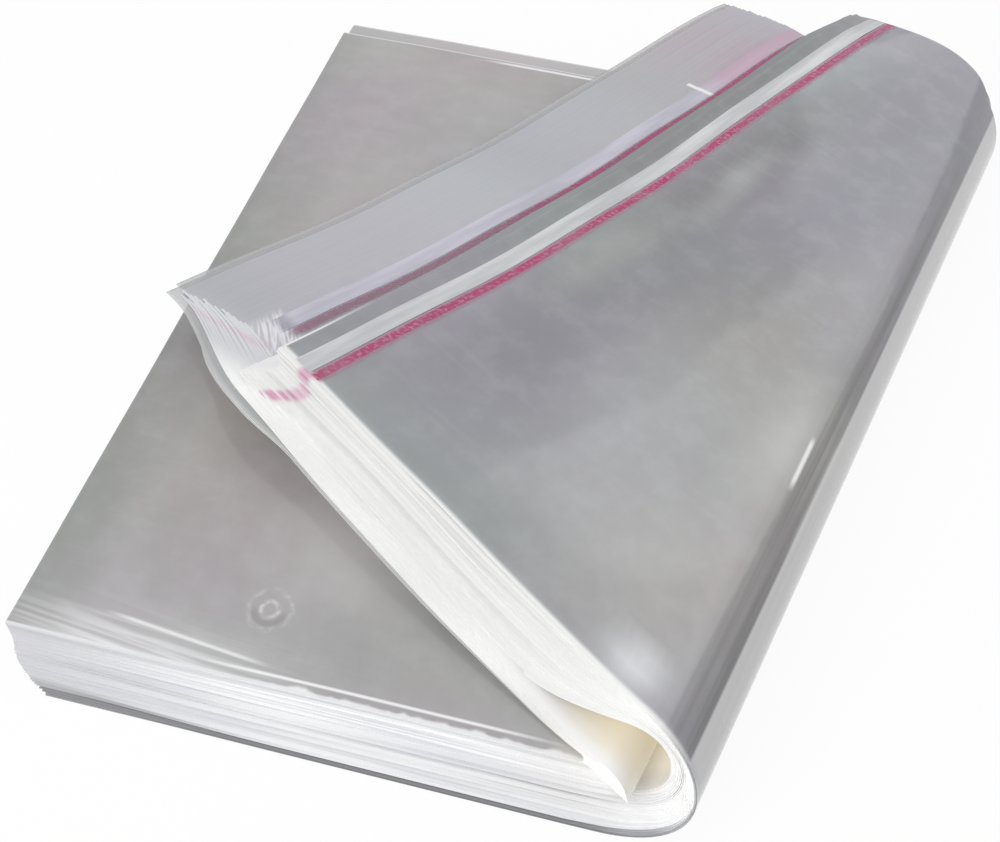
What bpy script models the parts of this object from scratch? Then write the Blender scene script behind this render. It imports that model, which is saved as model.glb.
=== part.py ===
"""A stack of clear self-seal film bags, folded over once along a slanting line.

Metres, +Z up. The fold line runs along +Y and the flat half lies on the ground towards -X. The folded half
turns back over it. The near long edges of the bags face -Y. Bags that lie together are one bundle, and
bundle 1 is on the outside of the fold: lowest on the flat half and highest on the folded half. The fold
springs open, which leaves a pocket between the outer group of bundles and the inner one.
"""

import math

import bmesh
import bpy
from mathutils import Vector

# One bag: its width along the seal, its length from the closed end to the flap's edge
BAG_WIDTH = 0.250
BAG_LENGTH = 0.307

# The seal on the flap, measured back from the flap's edge
LIP = 0.0050
LINER_WIDTH = 0.0055
ADHESIVE_WIDTH = 0.0020
STRIP_THICKNESS = 0.00015
STRIP_GAP = 0.0003

# The bundles
OUTER_BUNDLES = 8
INNER_BUNDLES = 4
BUNDLE_THICKNESS = 0.00065
BUNDLE_GAP = 0.0003

# Air that the bundles take up between them on the folded half, and between the two halves
UPPER_AIR = 0.0003
FACE_GAP = 0.0003
GROUP_GAP = 0.0016

# The fold: its place on the near edge, measured from the closed end, and its slant to the short edges
FOLD_AT = 0.136
FOLD_ANGLE = math.radians(17.0)
INNER_SETBACK = 0.0088
INNER_STEP = 0.0017
INNER_SPRING = 0.0020
POCKET_SPRING = 0.0070

# How steeply the folded half comes down behind the fold, and the radius on which it flattens out
POCKET_EXIT = math.radians(19.0)
OUTER_EXIT = math.radians(4.5)
INNER_EXIT = math.radians(15.0)
OUTER_BLEND = 0.120
INNER_BLEND = 0.100
BLEND_SHARE = 0.90

# How the bundles have slid on each other, square to the fold and along the short edges
OUTER_SLIDE = 0.0064
INNER_SLIDE = -0.0059
SLIDE_POWER = 3
FAN = 0.0062
SKEWED_BUNDLES = (6, 7)
SKEW = 0.0140

# How far the two ends of the flap curl up off the flat half, and over what run behind the fold
NEAR_LIFT = 0.0130
FAR_LIFT = 0.0085
NEAR_RUN = 0.130
FAR_RUN = 0.055
LIFT_SPREAD = 1.35

# Fineness of the bundles' faces, and the most of the length past the fold line that the bend's faces take
FLAT_STEPS = 2
BEND_STEPS = 10
UPPER_STEPS = 14
ROWS = 7
BEND_SHARE = 0.80
SHARP_ANGLE = math.radians(40.0)

PITCH = BUNDLE_THICKNESS + BUNDLE_GAP
BUNDLES = OUTER_BUNDLES + INNER_BUNDLES
FLAT_TOP = BUNDLES * PITCH - BUNDLE_GAP


def clear_scene():
    """Remove whatever the scene holds."""
    for thing in list(bpy.data.objects):
        bpy.data.objects.remove(thing, do_unlink=True)


def make_material(name, colour, roughness):
    """A plain dielectric."""
    material = bpy.data.materials.new(name)
    material.use_nodes = True
    shader = material.node_tree.nodes["Principled BSDF"]
    shader.inputs["Base Color"].default_value = (*colour, 1.0)
    shader.inputs["Roughness"].default_value = roughness
    shader.inputs["Metallic"].default_value = 0.0
    return material


def mix(low, high, share):
    """The value at a share of the way from low to high."""
    return low + (high - low) * share


def clamp(value):
    """The value held between 0 and 1."""
    return min(max(value, 0.0), 1.0)


def ease(value):
    """A smooth rise from 0 to 1."""
    held = clamp(value)
    return held * held * (3.0 - 2.0 * held)


class Fold:
    """The line of one bundle in a cut square to the fold, by its arc length from the bend's start."""

    def __init__(self, start, low, radius, exit_angle, high, blend):
        self.start = start
        self.low = low
        self.radius = radius
        self.exit_angle = exit_angle
        self.bend = radius * (math.pi + exit_angle)
        drop = low + radius * (1.0 + math.cos(exit_angle)) - high
        rise = 1.0 - math.cos(exit_angle)
        self.blend = min(blend, BLEND_SHARE * drop / rise)
        self.ramp = (drop - self.blend * rise) / math.sin(exit_angle)

    def at(self, arc):
        """x, z and heading at an arc length."""
        if arc <= 0.0:
            return self.start + arc, self.low, 0.0
        if arc <= self.bend:
            turn = arc / self.radius
            x = self.start + self.radius * math.sin(turn)
            z = self.low + self.radius * (1.0 - math.cos(turn))
            return x, z, turn
        x = self.start - self.radius * math.sin(self.exit_angle)
        z = self.low + self.radius * (1.0 + math.cos(self.exit_angle))
        arc -= self.bend
        run = min(arc, self.ramp)
        x -= run * math.cos(self.exit_angle)
        z -= run * math.sin(self.exit_angle)
        arc -= run
        if arc <= 0.0:
            return x, z, math.pi + self.exit_angle
        left = max(self.exit_angle - arc / self.blend, 0.0)
        x -= self.blend * (math.sin(self.exit_angle) - math.sin(left))
        z -= self.blend * (math.cos(left) - math.cos(self.exit_angle))
        arc -= self.blend * (self.exit_angle - left)
        return x - arc, z, math.pi + left


def bundle_fold(index):
    """The fold of a bundle, with index 0 on the outside."""
    low = BUNDLE_THICKNESS / 2 + index * PITCH
    inside = BUNDLES - 1 - index
    high = FLAT_TOP + FACE_GAP + BUNDLE_THICKNESS / 2 + inside * (PITCH + UPPER_AIR)
    if index >= OUTER_BUNDLES:
        growth = PITCH + INNER_STEP * math.sin(INNER_EXIT)
        radius = (FACE_GAP + INNER_SPRING + BUNDLE_THICKNESS) / 2 + inside * growth
        return Fold(inside * INNER_STEP - INNER_SETBACK, low, radius, INNER_EXIT, high, INNER_BLEND)
    depth = OUTER_BUNDLES - 1 - index
    pocket_low = BUNDLE_THICKNESS / 2 + (OUTER_BUNDLES - 1) * PITCH
    pocket_high = FLAT_TOP + FACE_GAP + BUNDLE_THICKNESS / 2 + INNER_BUNDLES * (PITCH + UPPER_AIR) + GROUP_GAP
    radius = (pocket_high - pocket_low + POCKET_SPRING) / 2 + depth * PITCH
    share = depth / max(OUTER_BUNDLES - 1, 1)
    exit_angle = mix(POCKET_EXIT, OUTER_EXIT, share)
    return Fold(0.0, low, radius, exit_angle, high + GROUP_GAP, OUTER_BLEND)


def bundle_slide(index):
    """How far a bundle has slid square to the fold, and along the bags' short edges."""
    depth = max(OUTER_BUNDLES - 1 - index, 0) / max(OUTER_BUNDLES - 1, 1)
    along = FAN * index / (BUNDLES - 1)
    if index in SKEWED_BUNDLES:
        along += SKEW
    return mix(INNER_SLIDE, OUTER_SLIDE, depth ** SLIDE_POWER), along


def lift(x, y):
    """How far the folded half is raised where its flap curls up near both ends."""
    across = (y * math.cos(FOLD_ANGLE) + x * math.sin(FOLD_ANGLE)) / BAG_WIDTH
    near = clamp(1.0 - LIFT_SPREAD * across)
    far = clamp(1.0 - LIFT_SPREAD * (1.0 - across))
    return NEAR_LIFT * near * near * ease(-x / NEAR_RUN) + FAR_LIFT * far * far * ease(-x / FAR_RUN)


def sheet_point(fold, slide, along, across, offset):
    """A bundle's point: along from the closed end, across from the near edge, offset out of the fold."""
    square = (along - FOLD_AT) * math.cos(FOLD_ANGLE) - across * math.sin(FOLD_ANGLE)
    line = (along - FOLD_AT) * math.sin(FOLD_ANGLE) + across * math.cos(FOLD_ANGLE)
    arc = square + slide - fold.start
    x, z, heading = fold.at(arc)
    if arc > fold.bend / 2:
        z += lift(x, line)
    return Vector((x + offset * math.sin(heading), line, z - offset * math.cos(heading)))


def stations(fold, slide, across):
    """Lengths along one row of a bundle at which its faces are cut, dense in the bend."""
    slope = math.cos(FOLD_ANGLE)
    bend_start = FOLD_AT + (across * math.sin(FOLD_ANGLE) + fold.start - slide) / slope
    bend_run = min(fold.bend / slope, BEND_SHARE * (BAG_LENGTH - bend_start))
    cuts = [bend_start * step / FLAT_STEPS for step in range(FLAT_STEPS)]
    cuts += [bend_start + bend_run * step / BEND_STEPS for step in range(BEND_STEPS)]
    cuts += [mix(bend_start + bend_run, BAG_LENGTH, step / UPPER_STEPS) for step in range(UPPER_STEPS + 1)]
    return cuts


def sheet_object(name, rows, material):
    """A closed sheet: rows holds, row by row, the pairs of points on its two faces."""
    mesh = bpy.data.meshes.new(name)
    work = bmesh.new()
    outer = [[work.verts.new(pair[0]) for pair in row] for row in rows]
    inner = [[work.verts.new(pair[1]) for pair in row] for row in rows]
    last_row = len(rows) - 1
    last_cut = len(rows[0]) - 1
    for row in range(last_row):
        for cut in range(last_cut):
            for grid in (outer, inner):
                here, there = grid[row], grid[row + 1]
                work.faces.new((here[cut], here[cut + 1], there[cut + 1], there[cut]))
    for row in (0, last_row):
        for cut in range(last_cut):
            work.faces.new((outer[row][cut], outer[row][cut + 1], inner[row][cut + 1], inner[row][cut]))
    for cut in (0, last_cut):
        for row in range(last_row):
            work.faces.new((outer[row][cut], outer[row + 1][cut], inner[row + 1][cut], inner[row][cut]))
    bmesh.ops.recalc_face_normals(work, faces=work.faces)
    work.to_mesh(mesh)
    work.free()
    mesh.shade_smooth()
    mesh.set_sharp_from_angle(angle=SHARP_ANGLE)
    mesh.materials.append(material)
    bpy.context.collection.objects.link(bpy.data.objects.new(name, mesh))


def make_bundle(index, material):
    """One bundle of bags, flat, round the fold and back over itself."""
    fold = bundle_fold(index)
    slide, shift = bundle_slide(index)
    half = BUNDLE_THICKNESS / 2
    rows = []
    for row in range(ROWS + 1):
        across = shift + BAG_WIDTH * row / ROWS
        cuts = stations(fold, slide, across)
        rows.append([[sheet_point(fold, slide, cut, across, side) for side in (half, -half)] for cut in cuts])
    sheet_object(f"bag_bundle_{index + 1:02d}", rows, material)


def facet_point(fold, slide, place, across, offset):
    """A point over a bundle's own facets, so that what lies on them keeps one clearance."""
    cuts = stations(fold, slide, across)
    after = next(step for step, cut in enumerate(cuts) if step and cut >= place)
    share = (place - cuts[after - 1]) / (cuts[after] - cuts[after - 1])
    ends = [sheet_point(fold, slide, cuts[step], across, offset) for step in (after - 1, after)]
    return ends[0].lerp(ends[1], share)


def make_strip(name, index, begin, width, material):
    """A strip on the outer face of a bundle's flap, begin measured from the closed end."""
    fold = bundle_fold(index)
    slide, shift = bundle_slide(index)
    base = BUNDLE_THICKNESS / 2 + STRIP_GAP
    sides = (base + STRIP_THICKNESS, base)
    rows = []
    for row in range(ROWS + 1):
        across = shift + BAG_WIDTH * row / ROWS
        rows.append([
            [facet_point(fold, slide, place, across, side) for side in sides]
            for place in (begin, begin + width)
        ])
    sheet_object(name, rows, material)


def make_seal(name, index, adhesive, liner):
    """The adhesive line on a bundle's flap, and the release liner beside it towards the flap's edge."""
    liner_begin = BAG_LENGTH - LIP - LINER_WIDTH
    adhesive_begin = liner_begin - STRIP_GAP - ADHESIVE_WIDTH
    make_strip(f"adhesive_line_{name}", index, adhesive_begin, ADHESIVE_WIDTH, adhesive)
    make_strip(f"release_liner_{name}", index, liner_begin, LINER_WIDTH, liner)


def centre_on_footprint():
    """Move the meshes so that the origin is below the middle of their box, on the ground."""
    things = [thing for thing in bpy.data.objects if thing.type == "MESH"]
    points = [vertex.co for thing in things for vertex in thing.data.vertices]
    middle = Vector((
        (min(p.x for p in points) + max(p.x for p in points)) / 2,
        (min(p.y for p in points) + max(p.y for p in points)) / 2,
        min(p.z for p in points),
    ))
    for thing in things:
        for vertex in thing.data.vertices:
            vertex.co -= middle


def build():
    """The whole stack."""
    clear_scene()
    film = make_material("clear_film", (0.62, 0.63, 0.65), 0.15)
    adhesive = make_material("pink_adhesive", (0.58, 0.10, 0.27), 0.45)
    liner = make_material("white_liner", (0.80, 0.82, 0.86), 0.30)
    for index in range(BUNDLES):
        make_bundle(index, film)
    make_seal("outer", 0, adhesive, liner)
    make_seal("inner", OUTER_BUNDLES, adhesive, liner)
    centre_on_footprint()


build()
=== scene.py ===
"""Folded stack of clear self-seal film bags: its thin sheets one by one, film materials and a studio."""

import math

import bpy
import numpy as np
from mathutils import Matrix, Vector


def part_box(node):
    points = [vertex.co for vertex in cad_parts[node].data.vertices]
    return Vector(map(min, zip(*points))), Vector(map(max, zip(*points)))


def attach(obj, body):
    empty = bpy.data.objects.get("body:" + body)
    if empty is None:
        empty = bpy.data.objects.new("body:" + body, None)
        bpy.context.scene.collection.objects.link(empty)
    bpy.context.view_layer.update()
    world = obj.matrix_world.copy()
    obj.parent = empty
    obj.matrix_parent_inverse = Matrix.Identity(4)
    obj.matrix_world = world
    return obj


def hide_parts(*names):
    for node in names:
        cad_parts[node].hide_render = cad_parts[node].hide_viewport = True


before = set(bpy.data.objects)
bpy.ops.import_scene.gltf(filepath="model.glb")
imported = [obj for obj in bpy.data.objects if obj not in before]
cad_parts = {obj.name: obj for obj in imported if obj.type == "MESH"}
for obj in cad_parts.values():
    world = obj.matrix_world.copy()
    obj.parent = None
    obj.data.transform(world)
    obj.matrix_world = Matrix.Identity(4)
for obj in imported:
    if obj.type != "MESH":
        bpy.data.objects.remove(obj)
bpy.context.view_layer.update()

# The solids' own sizes, in metres
BAG_WIDTH = 0.250
BAG_LENGTH = 0.307
LIP = 0.0050
LINER_WIDTH = 0.0055
STRIP_GAP = 0.0003
OUTER_BUNDLES = 8
INNER_BUNDLES = 4
BUNDLE_THICKNESS = 0.00065
BUNDLE_GAP = 0.0003
UPPER_AIR = 0.0003
FACE_GAP = 0.0003
GROUP_GAP = 0.0016
FOLD_AT = 0.136
FOLD_ANGLE = math.radians(17.0)
INNER_SETBACK = 0.0088
INNER_STEP = 0.0017
INNER_SPRING = 0.0020
POCKET_SPRING = 0.0070
POCKET_EXIT = math.radians(19.0)
OUTER_EXIT = math.radians(4.5)
INNER_EXIT = math.radians(15.0)
OUTER_BLEND = 0.120
INNER_BLEND = 0.100
BLEND_SHARE = 0.90
OUTER_SLIDE = 0.0064
INNER_SLIDE = -0.0059
SLIDE_POWER = 3
FAN = 0.0062
SKEWED_BUNDLES = (6, 7)
SKEW = 0.0140
NEAR_LIFT = 0.0130
FAR_LIFT = 0.0085
NEAR_RUN = 0.130
FAR_RUN = 0.055
LIFT_SPREAD = 1.35
PITCH = BUNDLE_THICKNESS + BUNDLE_GAP
BUNDLES = OUTER_BUNDLES + INNER_BUNDLES
FLAT_TOP = BUNDLES * PITCH - BUNDLE_GAP

# The single sheets
LEAVES = 5
LEAF_THICKNESS = 0.00016
SLIP_ALONG = 0.00018
SLIP_ACROSS = 0.0004
SLIP_SKEW = 0.0012
INNER_CARE = 0.25
INNER_FAN = 0.0040
INNER_RAGGED = 0.0005
LOOSE_SHORT = 0.0018
LAST_SHORT = 0.0060
LAST_STEP = 0.001
FLAT_CUTS = 16
BEND_CUTS = 26
UPPER_CUTS = 44
NEAR_ROWS = (0.0, 0.0006, 0.0014, 0.0028, 0.005, 0.009, 0.014, 0.020)
FAR_ROWS = (0.0, 0.0006, 0.0020, 0.006)
MIDDLE_ROWS = 21

# How the long edges of the folded half reach out, sag and curl
OUTER_REACH = 0.0090
INNER_REACH = 0.0040
OUTER_DROOP = 0.0022
INNER_RUN = 0.150
FAR_CROWN = 0.0060
FAR_RISE = 0.0045
CROWN_RUN = 0.052
FAR_TUCK = 0.0062
CORNER_TUCK = 0.0060
TUCK_RUN = 0.022
CORNER_FROM = 0.262
CORNER_RUN = 0.040
NOSE_SWELL = 0.00022
NOSE_REACH = 0.0074
NOSE_RUN = 0.060
WAVE = 0.0005
NEAR_REACH = 0.10
FAR_REACH = 0.06
LOOSE_REACH = 0.0022
LAST_TUCK = 0.0045
FLAP_FROM = 0.250
FLAP_RUN = 0.050
FLAP_CURL = 0.0030
FLAP_DROP = 0.0018
INNER_FLAP_FAN = (0.0060, -0.0020)

# The clean slanting end of the flat half
END_SLANT = 0.0022
END_RUN = 0.060
END_CARE = 0.85

# The strips
STRIP_LIFT = 0.00010
STRIP_ROWS = 121
STRIP_CUTS = 7
LINER_THICKNESS = 0.00006
ADHESIVE_SPAN = 0.0055
ADHESIVE_THICKNESS = 0.00004

# The turns of the bend where its painted dark reflection line starts and between which its lower painted
# shade lies
DARK_TURN = math.radians(138.0)
SHADE_TURNS = (math.radians(58.0), math.radians(80.0))

# The studio: the camera solved from the photograph, lights as (name, place, target, watts)
CAMERA_PLACE = (0.10563, -0.214165, 0.2372)
CAMERA_PITCH = math.radians(52.054)
CAMERA_YAW = math.radians(-25.9855)
CAMERA_ROLL = math.radians(4.8485)
CAMERA_LENS = 38.24
FLOOR_Z = -0.00013
FLOOR_REACH = 4.0
FLOOR_WHITE = 0.92
LIGHT_SIZE = 0.9
LIGHTS = (
    ("key", (-0.35, -0.75, 1.05), (0.0, 0.0, 0.0), 6.4),
    ("front", (-0.55, -1.30, 0.34), (0.0, 0.0, 0.02), 9.0),
    ("back", (0.3, 0.9, 1.0), (0.0, 0.0, 0.0), 2.5),
)

rng = np.random.default_rng(20)


def mix(low, high, share):
    return low + (high - low) * share


def smooth(value):
    held = np.clip(value, 0.0, 1.0)
    return held * held * (3.0 - 2.0 * held)


class Fold:
    """The line of one bundle in a cut square to the fold, by its arc length from the bend's start."""

    def __init__(self, start, low, radius, exit_angle, high, blend):
        self.start = start
        self.low = low
        self.radius = radius
        self.exit_angle = exit_angle
        self.bend = radius * (math.pi + exit_angle)
        drop = low + radius * (1.0 + math.cos(exit_angle)) - high
        rise = 1.0 - math.cos(exit_angle)
        self.blend = min(blend, BLEND_SHARE * drop / rise)
        self.ramp = (drop - self.blend * rise) / math.sin(exit_angle)

    def at(self, arc):
        """x, z and heading for an array of arc lengths."""
        turn = np.clip(arc, 0.0, self.bend) / self.radius
        x = self.start + np.minimum(arc, 0.0) + self.radius * np.sin(turn)
        z = self.low + self.radius * (1.0 - np.cos(turn))
        past = np.maximum(arc - self.bend, 0.0)
        run = np.minimum(past, self.ramp)
        x = x - run * math.cos(self.exit_angle)
        z = z - run * math.sin(self.exit_angle)
        past = past - run
        left = np.maximum(self.exit_angle - past / self.blend, 0.0)
        x = x - self.blend * (math.sin(self.exit_angle) - np.sin(left))
        z = z - self.blend * (np.cos(left) - math.cos(self.exit_angle))
        x = x - (past - self.blend * (self.exit_angle - left))
        return x, z, np.where(arc <= self.bend, turn, math.pi + left)


def bundle_fold(bundle, share=0.0):
    """The fold of a bundle, with 0 on the outside, or of a sheet at a share of the way to the next bundle."""
    index = bundle + share
    low = BUNDLE_THICKNESS / 2 + index * PITCH
    inside = BUNDLES - 1 - index
    high = FLAT_TOP + FACE_GAP + BUNDLE_THICKNESS / 2 + inside * (PITCH + UPPER_AIR)
    if bundle >= OUTER_BUNDLES:
        growth = PITCH + INNER_STEP * math.sin(INNER_EXIT)
        radius = (FACE_GAP + INNER_SPRING + BUNDLE_THICKNESS) / 2 + inside * growth
        return Fold(inside * INNER_STEP - INNER_SETBACK, low, radius, INNER_EXIT, high, INNER_BLEND)
    depth = OUTER_BUNDLES - 1 - index
    pocket_low = BUNDLE_THICKNESS / 2 + (OUTER_BUNDLES - 1) * PITCH
    pocket_high = FLAT_TOP + FACE_GAP + BUNDLE_THICKNESS / 2 + INNER_BUNDLES * (PITCH + UPPER_AIR) + GROUP_GAP
    radius = (pocket_high - pocket_low + POCKET_SPRING) / 2 + depth * PITCH
    exit_angle = mix(POCKET_EXIT, OUTER_EXIT, depth / (OUTER_BUNDLES - 1))
    return Fold(0.0, low, radius, exit_angle, high + GROUP_GAP, OUTER_BLEND)


def bundle_slide(bundle, share=0.0):
    """How far a bundle or sheet has slid square to the fold, and along the bags' short edges."""
    index = bundle + share
    depth = min(max(OUTER_BUNDLES - 1 - index, 0.0) / (OUTER_BUNDLES - 1), 1.0)
    along = FAN * index / (BUNDLES - 1)
    if bundle in SKEWED_BUNDLES:
        along += SKEW
    return mix(INNER_SLIDE, OUTER_SLIDE, depth ** SLIDE_POWER), along


def lift(x, y):
    """How far the folded half is raised where its flap curls up near both ends."""
    across = (y * math.cos(FOLD_ANGLE) + x * math.sin(FOLD_ANGLE)) / BAG_WIDTH
    near = np.clip(1.0 - LIFT_SPREAD * across, 0.0, 1.0)
    far = np.clip(1.0 - LIFT_SPREAD * (1.0 - across), 0.0, 1.0)
    rise = NEAR_LIFT * near * near * smooth(-x / NEAR_RUN)
    return rise + FAR_LIFT * far * far * smooth(-x / FAR_RUN)


def find_shift():
    """From the source's own frame to the row frame, read off the lowest bundle's box."""
    low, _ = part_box("bag_bundle_01")
    slide, _ = bundle_slide(0)
    far_corner = -FOLD_AT * math.cos(FOLD_ANGLE) - BAG_WIDTH * math.sin(FOLD_ANGLE) + slide
    near_corner = -FOLD_AT * math.sin(FOLD_ANGLE)
    return np.array([low.x - far_corner, low.y - near_corner, 0.0])


SHIFT = find_shift()


def waves(arc, line):
    """A slow unevenness that all sheets share."""
    total = np.sin(52.0 * arc + 31.0 * line + 0.7) + 0.8 * np.sin(83.0 * line - 47.0 * arc + 2.1)
    total = total + 0.5 * np.sin(121.0 * arc + 64.0 * line + 4.0)
    return WAVE * total


def sheet_points(fold, slide, along, across, offset, depth):
    """Points and arc of a sheet, for arrays of places on it."""
    square = (along - FOLD_AT) * math.cos(FOLD_ANGLE) - across * math.sin(FOLD_ANGLE)
    line = (along - FOLD_AT) * math.sin(FOLD_ANGLE) + across * math.cos(FOLD_ANGLE)
    arc = square + slide - fold.start
    x, z, heading = fold.at(arc)
    z = z + np.where(arc > fold.bend / 2, lift(x, line), 0.0)
    z = z + waves(arc, line) * smooth((arc - fold.bend) / 0.05)
    z = z + 0.25 * waves(arc + 0.3, line) * depth * smooth(-arc / 0.04)
    points = np.stack([
        x + offset * np.sin(heading) + SHIFT[0],
        line + SHIFT[1],
        z - offset * np.cos(heading),
    ], axis=-1)
    return points, arc


def row_places():
    """Places across a sheet, close together near its long edges."""
    far = BAG_WIDTH - np.array(FAR_ROWS)[::-1]
    middle = np.linspace(NEAR_ROWS[-1], far[0], MIDDLE_ROWS + 1)[1:-1]
    return np.concatenate([NEAR_ROWS, middle, far])


ROWS = row_places()


class Leaf:
    """One sheet: where it lies in its bundle and how it has slipped."""

    def __init__(self, bundle, rank):
        self.bundle = bundle
        self.rank = rank
        share = (rank + 0.5) / LEAVES - 0.5
        self.depth = (bundle + share + 0.5) / BUNDLES
        self.fold = bundle_fold(bundle, share)
        self.slip_along = float(rng.normal(0.0, SLIP_ALONG))
        self.slip_across = float(rng.normal(0.0, SLIP_ACROSS))
        self.skew = float(rng.normal(0.0, SLIP_SKEW))
        self.tone = float(rng.uniform(0.0, 1.0))
        self.extra = 0.0
        self.outer = bundle < OUTER_BUNDLES
        self.loose = bundle == BUNDLES - 1 and rank >= LEAVES - 2
        if not self.outer:
            self.extra = INNER_FAN * share + float(rng.normal(0.0, INNER_RAGGED))
            self.slip_along *= INNER_CARE
            self.slip_across *= INNER_CARE
            self.skew *= INNER_CARE
        if bundle == BUNDLES - 1:
            self.extra = -LOOSE_SHORT if self.loose else LAST_STEP * rank - LAST_SHORT
        self.slide, self.shift = bundle_slide(bundle, share)


def cut_places(fold, slide, across, length):
    """Places along a row, dense in the bend and next to both ends."""
    slope = math.cos(FOLD_ANGLE)
    begin = FOLD_AT + (across * math.sin(FOLD_ANGLE) + fold.start - slide) / slope
    end = begin + fold.bend / slope
    flat = begin * np.linspace(0.0, 1.0, FLAT_CUTS + 1)
    bend = begin + (end - begin) * np.linspace(0.0, 1.0, BEND_CUTS + 1)[1:-1]
    upper = end + (length - end) * np.linspace(0.0, 1.0, UPPER_CUTS + 1)
    return np.concatenate([flat, bend, upper])


def leaf_grid(leaf):
    """along and across for every vertex of a sheet's grid, measured on the sheet itself."""
    length = BAG_LENGTH + leaf.extra
    along = np.array([cut_places(leaf.fold, leaf.slide, across + leaf.shift, length) for across in ROWS])
    return along, np.repeat(ROWS[:, None], along.shape[1], axis=1)


def spread_outer(leaf, along, arc, near, far):
    """How far the outer group's long edges reach out, and how far they sag."""
    bend = leaf.fold.bend
    rank = leaf.depth * BUNDLES / OUTER_BUNDLES
    opened = smooth((arc - 0.45 * bend) / (0.6 * bend + 0.02))
    crown = np.sin(math.pi * np.clip((arc - 0.80 * bend) / CROWN_RUN, 0.0, 1.0))
    tuck = np.exp(-((arc - 0.55 * bend) / TUCK_RUN) ** 2)
    ended = smooth((along - FLAP_FROM) / FLAP_RUN)
    reach = OUTER_REACH * rank * opened * near + far * (FAR_TUCK * tuck - FAR_CROWN * crown)
    sag = OUTER_DROOP * rank * rank * opened * near - FAR_RISE * crown * far
    reach = reach + FLAP_CURL * ended * far
    sag = sag + FLAP_CURL * ended * far + FLAP_DROP * ended * near * leaf.depth
    return reach, sag


def spread_inner(leaf, along, arc, near, far):
    """The same for the inner group, whose loose flaps end in a curl of their own."""
    bend = leaf.fold.bend
    inward = (leaf.depth - OUTER_BUNDLES / BUNDLES) * BUNDLES / INNER_BUNDLES
    run = np.clip((arc - bend) / INNER_RUN, 0.0, 1.0)
    awning = smooth(arc / (0.5 * bend)) * smooth(1.0 - (arc - bend) / NOSE_RUN)
    ended = smooth((along - FLAP_FROM) / FLAP_RUN)
    reach = INNER_REACH * leaf.depth * np.sin(math.pi * run) * near
    reach = reach - CORNER_TUCK * smooth((along - CORNER_FROM) / CORNER_RUN) * near
    reach = reach + NOSE_REACH * (1.0 - inward) * awning * near
    if leaf.loose:
        reach = reach + LOOSE_REACH * smooth((along - 0.235) / 0.02) * near
        if leaf.rank == LEAVES - 1:
            reach = reach - LAST_TUCK * smooth((along - 0.272) / 0.030) * near
    reach = reach + mix(*INNER_FLAP_FAN, inward) * ended * far
    return reach, FLAP_CURL * ended * far


def leaf_shape(leaf, along, across, side, raised=0.0):
    """Points and arc of a sheet's outer face, for side 1, or its inner face, for side -1, raised off it."""
    fold = leaf.fold
    square = (along - FOLD_AT) * math.cos(FOLD_ANGLE) - (across + leaf.shift) * math.sin(FOLD_ANGLE)
    arc = square + leaf.slide - fold.start
    calm = 1.0 - 0.75 * smooth((arc + 0.010) / 0.020) * smooth(1.0 - (arc - fold.bend) / 0.050)
    corner = smooth(1.0 - along / END_RUN) * np.clip(1.0 - across / END_RUN, 0.0, 1.0)
    slipped = leaf.skew * (along - 0.15) + leaf.slip_across
    placed_across = across + (calm - END_CARE * corner) * slipped + leaf.shift
    placed_along = along + leaf.slip_along * (1.0 - END_CARE * corner) - leaf.skew * across
    height = min(max((leaf.depth - 0.08) / 0.90, 0.0), 1.0)
    placed_along = placed_along + END_SLANT * corner * math.sin(math.pi * height)
    near = np.clip(1.0 - across / NEAR_REACH, 0.0, 1.0) ** 2
    far = np.clip(1.0 - (BAG_WIDTH - across) / FAR_REACH, 0.0, 1.0) ** 2
    spread = spread_outer if leaf.outer else spread_inner
    reach, sag = spread(leaf, along, arc, near, far)
    if leaf.bundle in SKEWED_BUNDLES:
        reach = reach + SKEW * near
    nose = 0.0 if leaf.outer else NOSE_SWELL * np.sin(np.clip(arc / fold.radius, 0.0, math.pi))
    offset = side * (LEAF_THICKNESS / 2 + nose) + raised
    points, arc = sheet_points(fold, leaf.slide, placed_along, placed_across - reach, offset, leaf.depth)
    points[..., 2] -= sag
    return points, arc


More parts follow.
